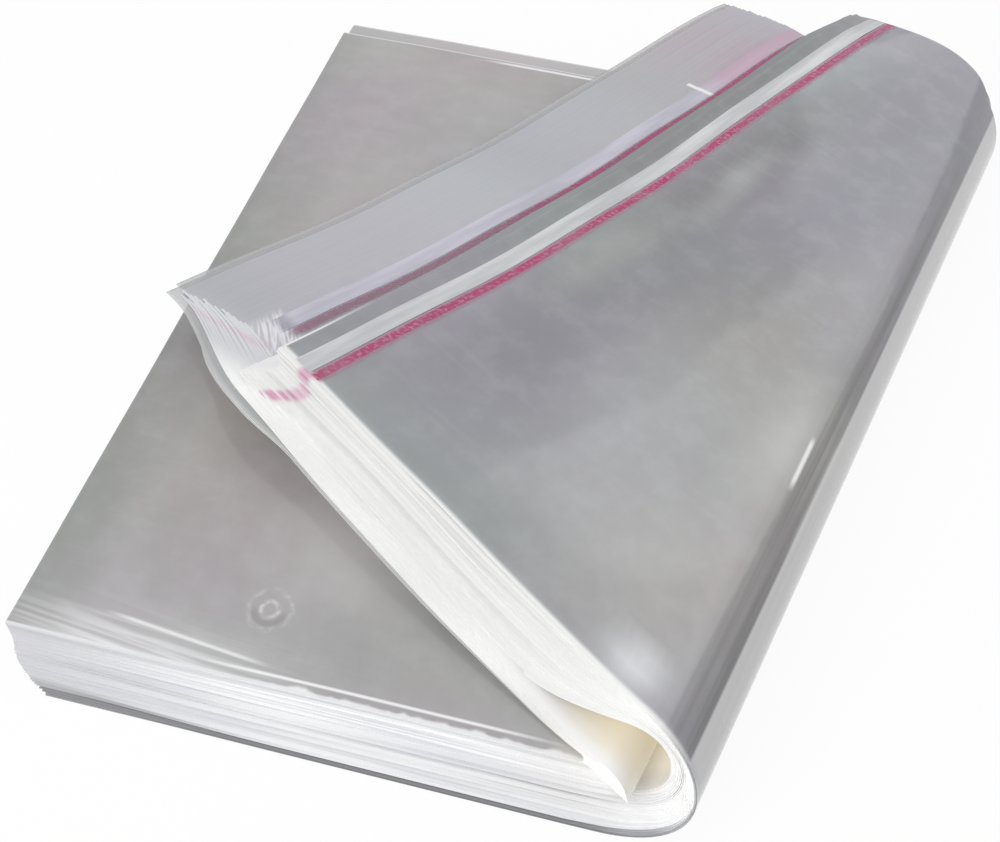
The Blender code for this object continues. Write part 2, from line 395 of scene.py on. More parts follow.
def sheet_mesh(name, parts, materials):
    """One mesh of closed thin sheets. Each part has its two faces' points, attributes and material slots."""
    all_points, all_faces, all_slots = [], [], []
    fields = {}
    base = 0
    for outer, inner, attributes, face_slot, rim_slot in parts:
        rows, cuts = outer.shape[:2]
        count = rows * cuts
        numbers = np.arange(count).reshape(rows, cuts)
        a, b = numbers[:-1, :-1].ravel(), numbers[:-1, 1:].ravel()
        c, d = numbers[1:, 1:].ravel(), numbers[1:, :-1].ravel()
        top = np.stack([a, b, c, d], axis=1)
        low = np.stack([d, c, b, a], axis=1) + count
        ring = np.concatenate([numbers[0, :], numbers[1:, -1], numbers[-1, -2::-1], numbers[-2:0:-1, 0]])
        following = np.roll(ring, -1)
        rim = np.stack([following, ring, ring + count, following + count], axis=1)
        all_points.append(np.concatenate([outer.reshape(-1, 3), inner.reshape(-1, 3)]))
        all_faces.append(np.concatenate([top, low, rim]) + base)
        face_slots = np.broadcast_to(face_slot, (rows - 1, cuts - 1)).ravel()
        slots = np.concatenate([face_slots, face_slots, np.full(len(rim), rim_slot)])
        all_slots.append(slots)
        for key, values in attributes.items():
            flat = values.reshape(count, -1)
            fields.setdefault(key, []).append(np.concatenate([flat, flat]))
        fields.setdefault("inside", []).append(np.concatenate([np.zeros(count), np.ones(count)]))
        base += 2 * count
    points = np.concatenate(all_points)
    faces = np.concatenate(all_faces)
    mesh = bpy.data.meshes.new(name)
    mesh.vertices.add(len(points))
    mesh.vertices.foreach_set("co", points.astype(np.float32).ravel())
    mesh.loops.add(faces.size)
    mesh.loops.foreach_set("vertex_index", faces.astype(np.int32).ravel())
    mesh.polygons.add(len(faces))
    mesh.polygons.foreach_set("loop_start", np.arange(0, faces.size, 4, dtype=np.int32))
    mesh.polygons.foreach_set("material_index", np.concatenate(all_slots).astype(np.int32))
    mesh.update(calc_edges=True)
    for key, values in fields.items():
        values = np.concatenate(values).astype(np.float32)
        if values.ndim == 2 and values.shape[1] == 3:
            layer = mesh.attributes.new(key, "FLOAT_COLOR", "POINT")
            opaque = np.ones((len(values), 1), np.float32)
            layer.data.foreach_set("color", np.hstack([values, opaque]).ravel())
        else:
            layer = mesh.attributes.new(key, "FLOAT", "POINT")
            layer.data.foreach_set("value", values.ravel())
    for material in materials:
        mesh.materials.append(material)
    mesh.shade_smooth()
    mesh.set_sharp_from_angle(angle=math.radians(50.0))
    piece = bpy.data.objects.new(name, mesh)
    bpy.context.collection.objects.link(piece)
    return piece


class Graph:
    """A short way to write nodes."""

    def __init__(self, owner):
        owner.use_nodes = True
        self.owner = owner
        self.tree = owner.node_tree
        self.tree.nodes.clear()

    def node(self, kind, **settings):
        made = self.tree.nodes.new(kind)
        for key, value in settings.items():
            setattr(made, key, value)
        return made

    def plug(self, socket, value):
        if isinstance(value, bpy.types.NodeSocket):
            self.tree.links.new(value, socket)
        elif isinstance(value, (tuple, list)) and len(value) == 3 and socket.type == "RGBA":
            socket.default_value = (*value, 1.0)
        else:
            socket.default_value = value

    def attribute(self, name, output="Fac"):
        return self.node("ShaderNodeAttribute", attribute_name=name).outputs[output]

    def math(self, operation, *values, clamp=False):
        made = self.node("ShaderNodeMath", operation=operation, use_clamp=clamp)
        for socket, value in zip(made.inputs, values):
            self.plug(socket, value)
        return made.outputs[0]

    def times(self, first, *others):
        for value in others:
            first = self.math("MULTIPLY", first, value)
        return first

    def plus(self, first, second):
        return self.math("ADD", first, second)

    def minus(self, first, second):
        return self.math("SUBTRACT", first, second)

    def most(self, first, *others):
        for value in others:
            first = self.math("MAXIMUM", first, value)
        return first

    def away(self, value, centre):
        """How far value is from centre."""
        return self.math("ABSOLUTE", self.minus(value, centre))

    def ramp(self, value, low, high, begin=0.0, end=1.0):
        """A smooth step of value from low to high."""
        made = self.node("ShaderNodeMapRange", interpolation_type="SMOOTHSTEP", clamp=True)
        given = {"Value": value, "From Min": low, "From Max": high, "To Min": begin, "To Max": end}
        for key, number in given.items():
            self.plug(made.inputs[key], number)
        return made.outputs["Result"]

    def band(self, value, low, high, soft):
        """1 between low and high, with soft sides."""
        rise = self.ramp(value, low - soft, low + soft)
        fall = self.ramp(value, high - soft, high + soft)
        return self.math("SUBTRACT", rise, fall, clamp=True)

    def vector(self, x, y, z=0.0):
        made = self.node("ShaderNodeCombineXYZ")
        for socket, value in zip(made.inputs, (x, y, z)):
            self.plug(socket, value)
        return made.outputs[0]

    def noise(self, vector, scale, detail=2.0, roughness=0.5):
        made = self.node("ShaderNodeTexNoise")
        given = {"Vector": vector, "Scale": scale, "Detail": detail, "Roughness": roughness}
        for key, value in given.items():
            self.plug(made.inputs[key], value)
        return made.outputs[0]

    def grain(self, x, y, z=0.0, detail=2.0, roughness=0.5):
        """Noise with a scale of its own each way. x and y are pairs of a value and its scale."""
        return self.noise(self.vector(self.times(*x), self.times(*y), z), 1.0, detail, roughness)

    def blend(self, share, first, second):
        made = self.node("ShaderNodeMix", data_type="RGBA", clamp_factor=True)
        self.plug(made.inputs[0], share)
        self.plug(made.inputs[6], first)
        self.plug(made.inputs[7], second)
        return made.outputs[2]

    def bump(self, height, strength, distance):
        made = self.node("ShaderNodeBump")
        made.inputs["Strength"].default_value = strength
        made.inputs["Distance"].default_value = distance
        self.plug(made.inputs["Height"], height)
        return made.outputs[0]

    def seen(self):
        """1 for the rays that see the white studio: from the camera, through film or off its gloss."""
        path = self.node("ShaderNodeLightPath")
        rays = ("Is Camera Ray", "Is Transmission Ray", "Is Glossy Ray")
        return self.most(*[path.outputs[ray] for ray in rays])

    def mix_shaders(self, share, first, second):
        mixed = self.node("ShaderNodeMixShader")
        for socket, value in zip(mixed.inputs, (share, first.outputs[0], second.outputs[0])):
            self.plug(socket, value)
        return mixed

    def output(self, shader, kind="ShaderNodeOutputMaterial"):
        self.plug(self.node(kind).inputs["Surface"], shader.outputs[0])
        return self.owner

    def finish(self, colour, roughness, alpha=1.0, normal=None, specular=0.5, glow=None):
        shader = self.node("ShaderNodeBsdfPrincipled")
        given = {"Base Color": colour, "Roughness": roughness, "Alpha": alpha, "Specular IOR Level": specular}
        if normal is not None:
            given["Normal"] = normal
        if glow is not None:
            given |= {"Emission Color": colour, "Emission Strength": glow}
        for key, value in given.items():
            self.plug(shader.inputs[key], value)
        return self.output(shader)


# Painted highlights, fine bright lines on the films: (along, across) at both ends, width, strength
UPPER_GLINTS = [
    (0.2035, 0.0850, 0.1975, 0.0660, 0.0009, 0.95),
    (0.1990, 0.0950, 0.1860, 0.0520, 0.0012, 0.20),
]
FLAT_GLINTS = [
    (0.0200, 0.0086, 0.0640, 0.0042, 0.0007, 0.70),
    (0.0400, 0.0026, 0.1350, 0.0026, 0.0006, 0.95),
    (0.0500, 0.2482, 0.1400, 0.2482, 0.0010, 0.95),
]

# Soft patches of painted reflection on the films, lighter as painted highlight and darker as painted shade:
# (along, across, reach along, reach across, colour, strength)
UPPER_PATCHES = [
    (0.240, 0.062, 0.018, 0.030, (0.40, 0.41, 0.44), 0.75),
    (0.228, 0.105, 0.024, 0.034, (0.315, 0.305, 0.280), 0.75),
    (0.272, 0.055, 0.015, 0.034, (0.25, 0.25, 0.29), 0.75),
    (0.262, 0.018, 0.018, 0.018, (0.31, 0.32, 0.35), 0.60),
    (0.202, 0.078, 0.013, 0.020, (0.54, 0.53, 0.50), 0.75),
    (0.250, 0.170, 0.022, 0.044, (0.240, 0.240, 0.290), 0.85),
    (0.262, 0.220, 0.020, 0.044, (0.225, 0.218, 0.262), 0.85),
    (0.281, 0.140, 0.010, 0.060, (0.190, 0.190, 0.200), 0.80),
    (0.264, 0.112, 0.012, 0.024, (0.240, 0.240, 0.270), 0.60),
    (0.283, 0.095, 0.007, 0.022, (0.38, 0.39, 0.38), 0.70),
    (0.199, 0.026, 0.022, 0.024, (0.43, 0.43, 0.415), 0.85),
    (0.192, 0.046, 0.008, 0.024, (0.40, 0.36, 0.35), 0.60),
    (0.215, 0.150, 0.014, 0.040, (0.36, 0.35, 0.40), 0.60),
    (0.192, 0.0060, 0.0065, 0.0045, (0.78, 0.80, 0.83), 0.85),
    (0.279, 0.150, 0.0045, 0.009, (0.52, 0.53, 0.52), 0.55),
    (0.276, 0.132, 0.0040, 0.007, (0.46, 0.47, 0.46), 0.45),
    (0.305, 0.170, 0.004, 0.090, (0.20, 0.21, 0.20), 0.70),
]
FLAT_PATCHES = [
    (0.036, 0.060, 0.030, 0.034, (0.40, 0.37, 0.345), 0.60),
    (0.030, 0.200, 0.030, 0.030, (0.42, 0.36, 0.41), 0.55),
    (0.002, 0.060, 0.009, 0.200, (0.26, 0.27, 0.26), 0.75),
    (0.078, 0.042, 0.018, 0.014, (0.60, 0.58, 0.56), 0.80),
    (0.100, 0.014, 0.026, 0.013, (0.380, 0.375, 0.360), 0.60),
    (0.060, 0.110, 0.020, 0.030, (0.38, 0.38, 0.37), 0.50),
    (0.075, 0.195, 0.030, 0.030, (0.40, 0.41, 0.43), 0.50),
]
LAP_PATCHES = [
    (0.286, 0.100, 0.006, 0.070, (0.30, 0.315, 0.29), 0.70),
    (0.305, 0.060, 0.006, 0.050, (0.55, 0.53, 0.56), 0.60),
    (0.302, 0.200, 0.010, 0.055, (0.50, 0.50, 0.505), 0.70),
    (0.3015, 0.218, 0.0050, 0.022, (0.50, 0.34, 0.42), 0.70),
]
# A short painted highlight across the lap: (along, across) at both ends, width, strength
LAP_GLINT = (0.2895, 0.1931, 0.3150, 0.1871, 0.0012, 0.95)
PLEATS_AT = (0.2975, 0.0060)
PLEATS_TURN = (0.446, 0.895)
DIMPLE = (0.0569, 0.0180)
TINT_LEVEL = 0.93
UPPER_BASE = np.array([0.330, 0.330, 0.342])
FLAT_BASE = np.array([0.430, 0.408, 0.400])
LAP_BASE = np.array([0.475, 0.478, 0.520])
COOL_DRIFT = (-0.020, -0.005, 0.015)
LILAC_DRIFT = (0.020, -0.008, 0.018)
GREEN_DRIFT = (-0.008, 0.014, -0.006)

# Where things lie: depth runs from 0 on the outside of the fold to 1 at its inmost sheet
LAP_SHEET = (0.64, 0.70)
LAP_SHEETS = (0.64, 0.74)
LOWEST = (0.12, 0.17)
OUTSIDE = (0.10, 0.20)
SEAL_BAND = (0.2943, 0.2983)
FOLD_SHOWN = (-0.070, -0.050)
START_RUN = 0.008

# How far frost reaches in from the near edge of the folded half, by kind of sheet
FROST_PLAIN = 0.0030
FROST_FIRST = 0.0008
FROST_LAP = 0.0026
FROST_LOOSE = 0.0005

# The colours of the near side
WALL = {
    "lines": (0.76, 0.765, 0.80),
    "bright": (0.97, 0.97, 0.97),
    "low": (0.72, 0.725, 0.755),
    "end": (0.58, 0.58, 0.61),
    "by_fold": (0.85, 0.845, 0.845),
    "upper": (0.90, 0.90, 0.895),
    "flap": (0.56, 0.56, 0.60),
    "dark": (0.33, 0.335, 0.35),
    "dark_end": (0.47, 0.47, 0.48),
}

# The colours that the materials blend in, among them painted highlights, painted reflections and painted
# shade
TONES = {
    "edge": (0.80, 0.81, 0.82),
    "cream": (0.66, 0.595, 0.465),
    "cream_lap": (0.88, 0.84, 0.74),
    "cream_rim": (0.72, 0.67, 0.56),
    "seal": (0.68, 0.22, 0.43),
    "seal_rim": (0.66, 0.20, 0.42),
    "single": (0.62, 0.63, 0.62),
    "fibre": (0.62, 0.63, 0.65),
    "reflection_light": (0.62, 0.63, 0.66),
    "reflection_dark": (0.20, 0.20, 0.20),
    "bend_dark": (0.17, 0.165, 0.165),
    "bend_lit": (0.620, 0.615, 0.615),
    "bend_line": (0.42, 0.42, 0.43),
    "bend_shade": (0.27, 0.27, 0.28),
    "bottom": (0.25, 0.25, 0.26),
    "thread": (0.50, 0.52, 0.51),
    "lap_glint": (0.90, 0.90, 0.90),
    "pleat": (0.80, 0.78, 0.82),
    "gleam": (0.80, 0.80, 0.82),
    "jag": (0.84, 0.84, 0.85),
    "painted_glint": (0.86, 0.86, 0.87),
    "ring": (0.72, 0.71, 0.71),
    "ring_shade": (0.20, 0.19, 0.19),
    "rim_strip": (0.42, 0.42, 0.43),
    "rim_tail": (0.46, 0.465, 0.495),
    "liner_pink": (0.55, 0.33, 0.44),
}


def swing(phase):
    """A wave of a phase field between 0 and 1."""
    return 0.5 + 0.5 * np.sin(phase)


def toward(colour, target, share):
    """A colour, or a field of them, drawn a share of the way to a target."""
    return mix(np.asarray(colour), np.asarray(target), np.asarray(share)[..., None])


def tint_of(leaf, along, across, upper):
    """The slow colours of a film's face: a grey that drifts between cool, warm, lilac and green in painted
    reflections, with soft patches of painted highlight and painted shade.
    """
    u, v = along + 0.11 * upper, across
    cool = swing(26.0 * u + 17.0 * v + 0.4 + 1.3 * np.sin(21.0 * v - 13.0 * u))
    lilac = smooth(0.5 + 0.6 * np.sin(61.0 * v - 43.0 * u + 2.0 + 1.5 * np.sin(27.0 * u + 9.0)))
    green = smooth(0.5 + 0.6 * np.sin(55.0 * u + 64.0 * v + 5.1 + 1.2 * np.sin(41.0 * v + 1.0)))
    blotch = np.sin(83.0 * u + 37.0 * v + 1.0) * np.sin(71.0 * v - 29.0 * u + 0.3)
    colour = toward(FLAT_BASE, UPPER_BASE if leaf.outer else LAP_BASE, upper)
    for share, drift in ((cool, COOL_DRIFT), (lilac, LILAC_DRIFT), (green, GREEN_DRIFT)):
        colour = colour + share[..., None] * np.array(drift)
    colour = colour * (1.0 + 0.07 * blotch[..., None])
    upper_patches = UPPER_PATCHES if leaf.outer else LAP_PATCHES
    for patches, side in ((upper_patches, upper), (FLAT_PATCHES, 1.0 - upper)):
        for at_along, at_across, reach_along, reach_across, target, strength in patches:
            fall = ((along - at_along) / reach_along) ** 2 + ((across - at_across) / reach_across) ** 2
            colour = toward(colour, target, strength * side * np.exp(-0.7 * fall ** 1.2))
    return TINT_LEVEL * colour


def wall_of(leaf, along, arc, upper):
    """The frosted near side of the stack: even on the folded half, lined on the flat half, darker below."""
    phase = 6.3 * leaf.tone
    uneven = swing(23.0 * along + 3.0 * phase + 1.4 * np.sin(37.0 * along + 5.0 * phase))
    by_fold = smooth((along - 0.105) / 0.035) * smooth((leaf.depth - 0.10) / 0.15)
    colour = toward(WALL["lines"], WALL["bright"], smooth(0.15 + 0.95 * uneven))
    colour = toward(colour, WALL["low"], 0.40 * smooth((0.60 - leaf.depth) / 0.45))
    colour = toward(colour, WALL["end"], 0.75 * smooth(1.0 - along / 0.070))
    colour = toward(colour, WALL["by_fold"], 0.80 * by_fold)
    colour = toward(colour, WALL["upper"], upper)
    if not leaf.outer:
        colour = toward(colour, WALL["flap"], 0.80 * smooth((along - 0.268) / 0.022))
    dark = toward(WALL["dark"], WALL["dark_end"], smooth(1.0 - along / 0.045))
    return toward(colour, dark, 0.92 * underside(leaf, along, arc, upper))


def underside(leaf, along, arc, upper):
    """How much a sheet belongs to the dark line along the bottom and round the outside of the bend."""
    reach = 0.115 + 0.06 * smooth(1.0 - along / 0.06)
    low = smooth((reach - leaf.depth) / 0.05) * (1.0 - upper)
    past = arc - DARK_TURN * leaf.fold.radius
    around = smooth((0.080 - leaf.depth) / 0.035) * smooth((0.014 - past) / 0.018)
    return np.maximum(low, around)


def frost_of(leaf, along, across, arc, opened):
    """How frosted a face looks: along its near edge, and at the outer sheets' near end corner."""
    wide = FROST_PLAIN
    if leaf.depth < 0.01:
        wide = FROST_FIRST
    elif leaf.bundle == OUTER_BUNDLES and leaf.rank == 0:
        wide = FROST_LAP
    elif leaf.loose:
        wide = FROST_LOOSE
    frost = opened * np.exp(-(across / wide) ** 2)
    if not leaf.outer:
        frost = frost * (1.0 - 0.85 * smooth((along - 0.280) / 0.018))
    if 0.09 < leaf.depth < 0.97:
        ragged = 0.0022 + 0.0010 * math.sin(9.0 * leaf.tone) + 0.0008 * np.sin(60.0 * along + 7.0 * leaf.tone)
        frost = np.maximum(frost, (1.0 - opened) * np.exp(-(across / ragged) ** 4))
    if leaf.depth > 0.03:
        rounding = smooth((arc + 0.004) / 0.010) * (1.0 - opened)
        frost = np.maximum(frost, rounding * np.exp(-(across / 0.0040) ** 2))
    if leaf.outer and leaf.depth > 0.02:
        end = smooth((along - 0.288) / 0.010) * np.exp(-(across / 0.022) ** 4)
        frost = np.maximum(frost, 0.9 * end)
    if leaf.bundle in SKEWED_BUNDLES:
        margin = smooth((across - (BAG_WIDTH - SKEW)) / 0.006)
        frost = np.maximum(frost, 0.30 * margin * (1.0 - opened))
    return frost


def painted_glint(g, along, across, line, side):
    """A painted highlight: a fine bright line between two places, tapering at both ends."""
    a0, c0, a1, c1, width, strength = line
    length = math.hypot(a1 - a0, c1 - c0)
    ua, uc = (a1 - a0) / length, (c1 - c0) / length
    da, dc = g.minus(along, a0), g.minus(across, c0)
    run = g.plus(g.times(da, ua), g.times(dc, uc))
    off = g.away(g.times(dc, ua), g.times(da, uc))
    ends = g.times(g.ramp(run, 0.0, 0.2 * length), g.ramp(run, 0.75 * length, length, 1.0, 0.0))
    body = g.ramp(off, 0.2 * width, width, 1.0, 0.0)
    return g.times(ends, body, side, strength)


class Spot:
    """What a film's material reads at a point of its sheet."""

    def __init__(self, g):
        self.along, self.across = g.attribute("along"), g.attribute("across")
        self.upper, self.depth = g.attribute("upper"), g.attribute("depth")
        self.past = g.attribute("past")
        self.under = g.minus(1.0, self.upper)


def film_material(name, fine=True, single=None):
    """Many clear films on each other: grey, glossy, softly tinted with painted reflections, bright at their
    edges, partly with painted highlights.
    """
    g = Graph(bpy.data.materials.new(name))
    at = Spot(g)
    colour, normal = g.attribute("tint", "Color"), None
    if fine:
        for marks in (soft_marks, bend_marks, lap_marks, near_gleams, glint_lines, press_mark):
            colour = marks(g, at, colour)
        normal = g.bump(g.noise(g.vector(at.along, at.across, at.upper), 60.0), 0.20, 0.001)
    # Cut edges catch the light
    near = g.ramp(at.across, 0.00030, 0.0010 if single is None else 0.0014, 0.85, 0.0)
    lowest = g.times(at.under, g.ramp(at.depth, *LOWEST, 1.0, 0.0))
    near = g.times(near, g.minus(1.0, lowest))
    far = g.ramp(g.minus(BAG_WIDTH, at.across), 0.00030, 0.0008, 0.30, 0.0)
    far = g.times(far, g.plus(g.times(at.under, 2.0), 0.3))
    ends = g.math("MINIMUM", at.along, g.minus(g.attribute("length"), at.along))
    ends = g.ramp(ends, 0.00020, 0.0006, 0.05, 0.0)
    colour = g.blend(g.most(near, far, ends), colour, TONES["edge"])
    # The inner face of the bend glows cream with the light that comes through
    within = g.times(g.attribute("inside"), g.ramp(at.depth, 0.30, 0.50))
    cream = g.times(g.attribute("cream"), g.most(within, g.ramp(at.depth, 0.66, 0.67)))
    creamy = g.blend(g.ramp(at.depth, 0.662, 0.672), TONES["cream_lap"], TONES["cream"])
    colour = g.blend(cream, colour, creamy)
    frost = g.attribute("frost")
    colour = g.blend(frost, colour, g.attribute("wall", "Color"))
    # The seals of the covered bags show through their near edges
    seal = g.times(g.band(at.along, *SEAL_BAND, 0.0011), g.ramp(g.attribute("tone"), 0.2, 0.8, 0.15, 0.62))
    seal = g.times(seal, frost, g.ramp(at.across, 0.0025, 0.0045, 1.0, 0.0))
    colour = g.blend(seal, colour, TONES["seal"])
    if single is not None:
        colour = g.blend(0.6, colour, TONES["single"])
    glow = g.times(cream, g.minus(1.0, frost), 0.20)
    alpha = 1.0 if single is None else single
    return g.finish(colour, 0.13, alpha=alpha, normal=normal, specular=0.6, glow=glow)


def soft_marks(g, at, colour):
    """Streaks that run with the bags' long edges, and soft lighter and darker blotches of painted reflection.
    """
    streaks = g.grain((at.along, 20.0), (at.across, 420.0), at.upper, 3.0)
    colour = g.blend(g.ramp(streaks, 0.56, 0.80, 0.0, 0.05), colour, TONES["fibre"])
    reflection_blotch = g.noise(g.vector(at.along, at.across, at.upper), 95.0, 3.0, 0.6)
    colour = g.blend(g.ramp(reflection_blotch, 0.42, 0.72, 0.0, 0.10), colour, TONES["reflection_light"])
    return g.blend(g.ramp(reflection_blotch, 0.25, 0.48, 0.08, 0.0), colour, TONES["reflection_dark"])


def bend_marks(g, at, colour):
    """Painted reflection on the bend: its dark line across, the lit outside before it as a painted highlight
    and a soft line of painted shade low on that.
    """
    outside = g.ramp(at.depth, *OUTSIDE, 1.0, 0.0)
    lines = g.grain((at.past, 420.0), (at.across, 9.0))
    dark = g.times(g.ramp(at.past, -0.0005, 0.0004), g.ramp(at.past, 0.0020, 0.0120, 1.0, 0.0))
    dark = g.times(dark, g.ramp(lines, 0.30, 0.62, 0.90, 0.45), g.ramp(at.across, 0.14, 0.23, 1.0, 0.40))
    colour = g.blend(dark, colour, TONES["bend_dark"])
    lit = g.times(g.ramp(at.past, -0.0006, 0.0003, 1.0, 0.0), g.ramp(at.past, *FOLD_SHOWN), outside)
    colour = g.blend(g.times(lit, 0.95), colour, TONES["bend_lit"])
    colour = g.blend(g.times(lit, g.ramp(lines, 0.50, 0.70, 0.0, 0.16)), colour, TONES["bend_line"])
    radius = bundle_fold(0, 0.5 / LEAVES - 0.5).radius
    shade_from, shade_to = [(turn - DARK_TURN) * radius for turn in SHADE_TURNS]
    shade = g.times(g.band(at.past, shade_from, shade_to, 0.0012), outside, 0.60)
    return g.blend(shade, colour, TONES["bend_shade"])


def lap_marks(g, at, colour):
    """On the lap: fine threads beside its seal, a short painted highlight, and pleats at its near corner."""
    lap = g.times(g.band(at.along, 0.268, 0.2935, 0.004), g.band(at.depth, *LAP_SHEETS, 0.01))
    threads = g.grain((at.along, 900.0), (at.across, 12.0), at.upper)
    colour = g.blend(g.times(lap, g.ramp(threads, 0.55, 0.75, 0.0, 0.5)), colour, TONES["thread"])
    sheet = g.band(at.depth, *LAP_SHEET, 0.01)
    colour = g.blend(painted_glint(g, at.along, at.across, LAP_GLINT, sheet), colour, TONES["lap_glint"])
    short, long = PLEATS_TURN
    turned = g.minus(g.times(at.along, short), g.times(at.across, long))
    run = g.plus(g.times(at.along, long), g.times(at.across, short))
    pleats = g.grain((turned, 1200.0), (run, 150.0), 7.0, 1.0)
    reach = g.most(g.away(at.along, PLEATS_AT[0]), g.times(g.away(at.across, PLEATS_AT[1]), 1.1))
    corner = g.times(g.ramp(reach, 0.0035, 0.0085, 1.0, 0.0), sheet, g.ramp(pleats, 0.42, 0.56, 0.25, 0.95))
    return g.blend(corner, colour, TONES["pleat"])


def near_gleams(g, at, colour):
    """Broken light along the near edge of the flat half."""
    slant = g.plus(g.times(at.across, 620.0), g.times(at.along, 60.0))
    gleams = g.noise(g.vector(g.times(at.along, 28.0), slant, 2.0), 1.0)
    gleam = g.times(g.attribute("gleam"), g.ramp(gleams, 0.36, 0.66, 0.30, 0.95))
    colour = g.blend(gleam, colour, TONES["gleam"])
    jags = g.noise(g.vector(g.times(at.along, 150.0), 0.0), 1.0)
    jagged = g.ramp(g.plus(at.across, g.times(jags, 0.0050)), 0.0026, 0.0038, 1.0, 0.0)
    jagged = g.times(jagged, at.under, g.band(at.along, 0.060, 0.135, 0.010))
    return g.blend(jagged, colour, TONES["jag"])


def glint_lines(g, at, colour):
    # Painted highlights: the fine bright lines on the folded half and on the flat half
    for lines, side in ((UPPER_GLINTS, at.upper), (FLAT_GLINTS, at.under)):
        for line in lines:
            colour = g.blend(painted_glint(g, at.along, at.across, line, side), colour, TONES["painted_glint"])
    return colour


def press_mark(g, at, colour):
    """A small round mark pressed into the flat half: two ragged rings of painted highlight and the painted
    shade between them.
    """
    off_along, off_across = g.minus(at.along, DIMPLE[0]), g.minus(at.across, DIMPLE[1])
    away = g.math("SQRT", g.plus(g.times(off_along, off_along), g.times(off_across, off_across)))
    ragged = g.noise(g.vector(at.along, at.across, 4.0), 420.0)
    outer = g.times(g.band(away, 0.0047, 0.0058, 0.0006), g.ramp(ragged, 0.40, 0.65, 0.04, 0.34))
    inner = g.times(g.band(away, 0.0016, 0.0026, 0.0005), g.ramp(ragged, 0.40, 0.62, 0.08, 0.60))
    colour = g.blend(g.times(g.most(outer, inner), at.under), colour, TONES["ring"])
    shade = g.times(g.band(away, 0.0028, 0.0044, 0.0006), g.ramp(off_across, -0.002, 0.001, 0.40, 0.0))
    return g.blend(g.times(shade, at.under), colour, TONES["ring_shade"])


def rim_material(name):
    """The cut edges of the sheets, seen as a bright frosted wall of fine lines."""
    g = Graph(bpy.data.materials.new(name))
    at = Spot(g)
    strip = g.times(g.band(at.depth, 0.90, 0.97, 0.01), at.under, 0.6)
    colour = g.blend(strip, g.attribute("wall", "Color"), TONES["rim_strip"])
    seal = g.times(g.band(at.along, *SEAL_BAND, 0.0009), g.ramp(g.attribute("tone"), 0.1, 0.7, 0.25, 0.80))
    colour = g.blend(seal, colour, TONES["seal_rim"])
    tail = g.ramp(g.minus(g.attribute("length"), at.along), 0.0002, 0.0008, 0.85, 0.0)
    colour = g.blend(g.times(tail, at.upper), colour, TONES["rim_tail"])
    # The cream of the light that comes through the bend, painted on the rims with a faint glow
    cream = g.times(g.attribute("cream"), g.ramp(at.depth, 0.60, 0.67))
    colour = g.blend(g.times(cream, 0.35), colour, TONES["cream_rim"])
    return g.finish(colour, 0.45, specular=0.3, glow=g.times(cream, 0.08))


def liner_material(name, pale, dull, start=None):
    """The smooth release strip, streaked along its length. With a start, it comes out of the lap's pleats and
    carries the lap's short painted highlight.
    """
    g = Graph(bpy.data.materials.new(name))
    along, across = g.attribute("along"), g.attribute("across")
    cloud = g.grain((along, 300.0), (across, 30.0), detail=3.0)
    colour = g.blend(g.ramp(cloud, 0.35, 0.70), dull, pale)
    lines = g.grain((along, 2500.0), (across, 8.0), detail=1.0)
    colour = g.blend(g.ramp(lines, 0.55, 0.75, 0.0, 0.3), colour, pale)
    alpha = 1.0
    if start is not None:
        colour = g.blend(g.ramp(across, 0.186, 0.206, 0.0, 0.70), colour, TONES["liner_pink"])
        colour = g.blend(painted_glint(g, along, across, LAP_GLINT, 1.0), colour, TONES["lap_glint"])
        alpha = g.ramp(across, start, start + START_RUN)
    return g.finish(colour, 0.25, alpha=alpha)


def adhesive_material(name, core, halo, centre, crisp, haze, start=None):
    """A pressed line of glue: a broken strong core, as crisp as told near its start, in a speckled halo."""
    g = Graph(bpy.data.materials.new(name))
    along, across = g.attribute("along"), g.attribute("across")
    off = g.away(along, centre)
    slant = g.plus(g.times(across, 1250.0), g.times(along, 700.0))
    dashes = g.noise(g.vector(g.times(along, 800.0), slant), 1.0, 2.0, 0.7)
    slow = g.grain((along, 50.0), (across, 45.0))
    strong = g.times(g.ramp(off, 0.0008, 0.0016, 1.0, 0.0), g.ramp(dashes, 0.40, 0.50))
    strong = g.times(strong, g.ramp(slow, 0.25, 0.60, 0.55, 1.0), g.ramp(across, 0.06, 0.13, crisp, 1.0))
    soft = g.times(g.ramp(off, 0.0002, 0.0027, haze, 0.0), g.ramp(dashes, 0.25, 0.60, 0.60, 1.0))
    alpha = g.most(strong, soft)
    if start is not None:
        alpha = g.times(alpha, g.ramp(across, start, start + START_RUN))
    return g.finish(g.blend(strong, halo, core), 0.40, alpha=alpha)


# The materials of a bundle, in the order of its slots
FILM, RIM, LOOSE, COVERED = range(4)
SHEET_MATERIALS = [
    film_material("film"),
    rim_material("film_edges"),
    film_material("film_single", fine=False, single=0.55),
    film_material("film_covered", fine=False),
]
LINERS = {
    "outer": liner_material("liner_white", (0.66, 0.66, 0.68), (0.50, 0.51, 0.53)),
    "inner": liner_material("liner_lilac", (0.60, 0.585, 0.68), (0.48, 0.475, 0.55), start=0.006),
}
ADHESIVES = {
    "outer": adhesive_material(
        "adhesive_strong", (0.42, 0.020, 0.12), (0.66, 0.36, 0.49),
        centre=0.2945, crisp=1.0, haze=0.72,
    ),
    "inner": adhesive_material(
        "adhesive_faded", (0.42, 0.04, 0.17), (0.40, 0.24, 0.31),
        centre=0.2950, crisp=0.10, haze=0.60, start=0.007,
    ),
}


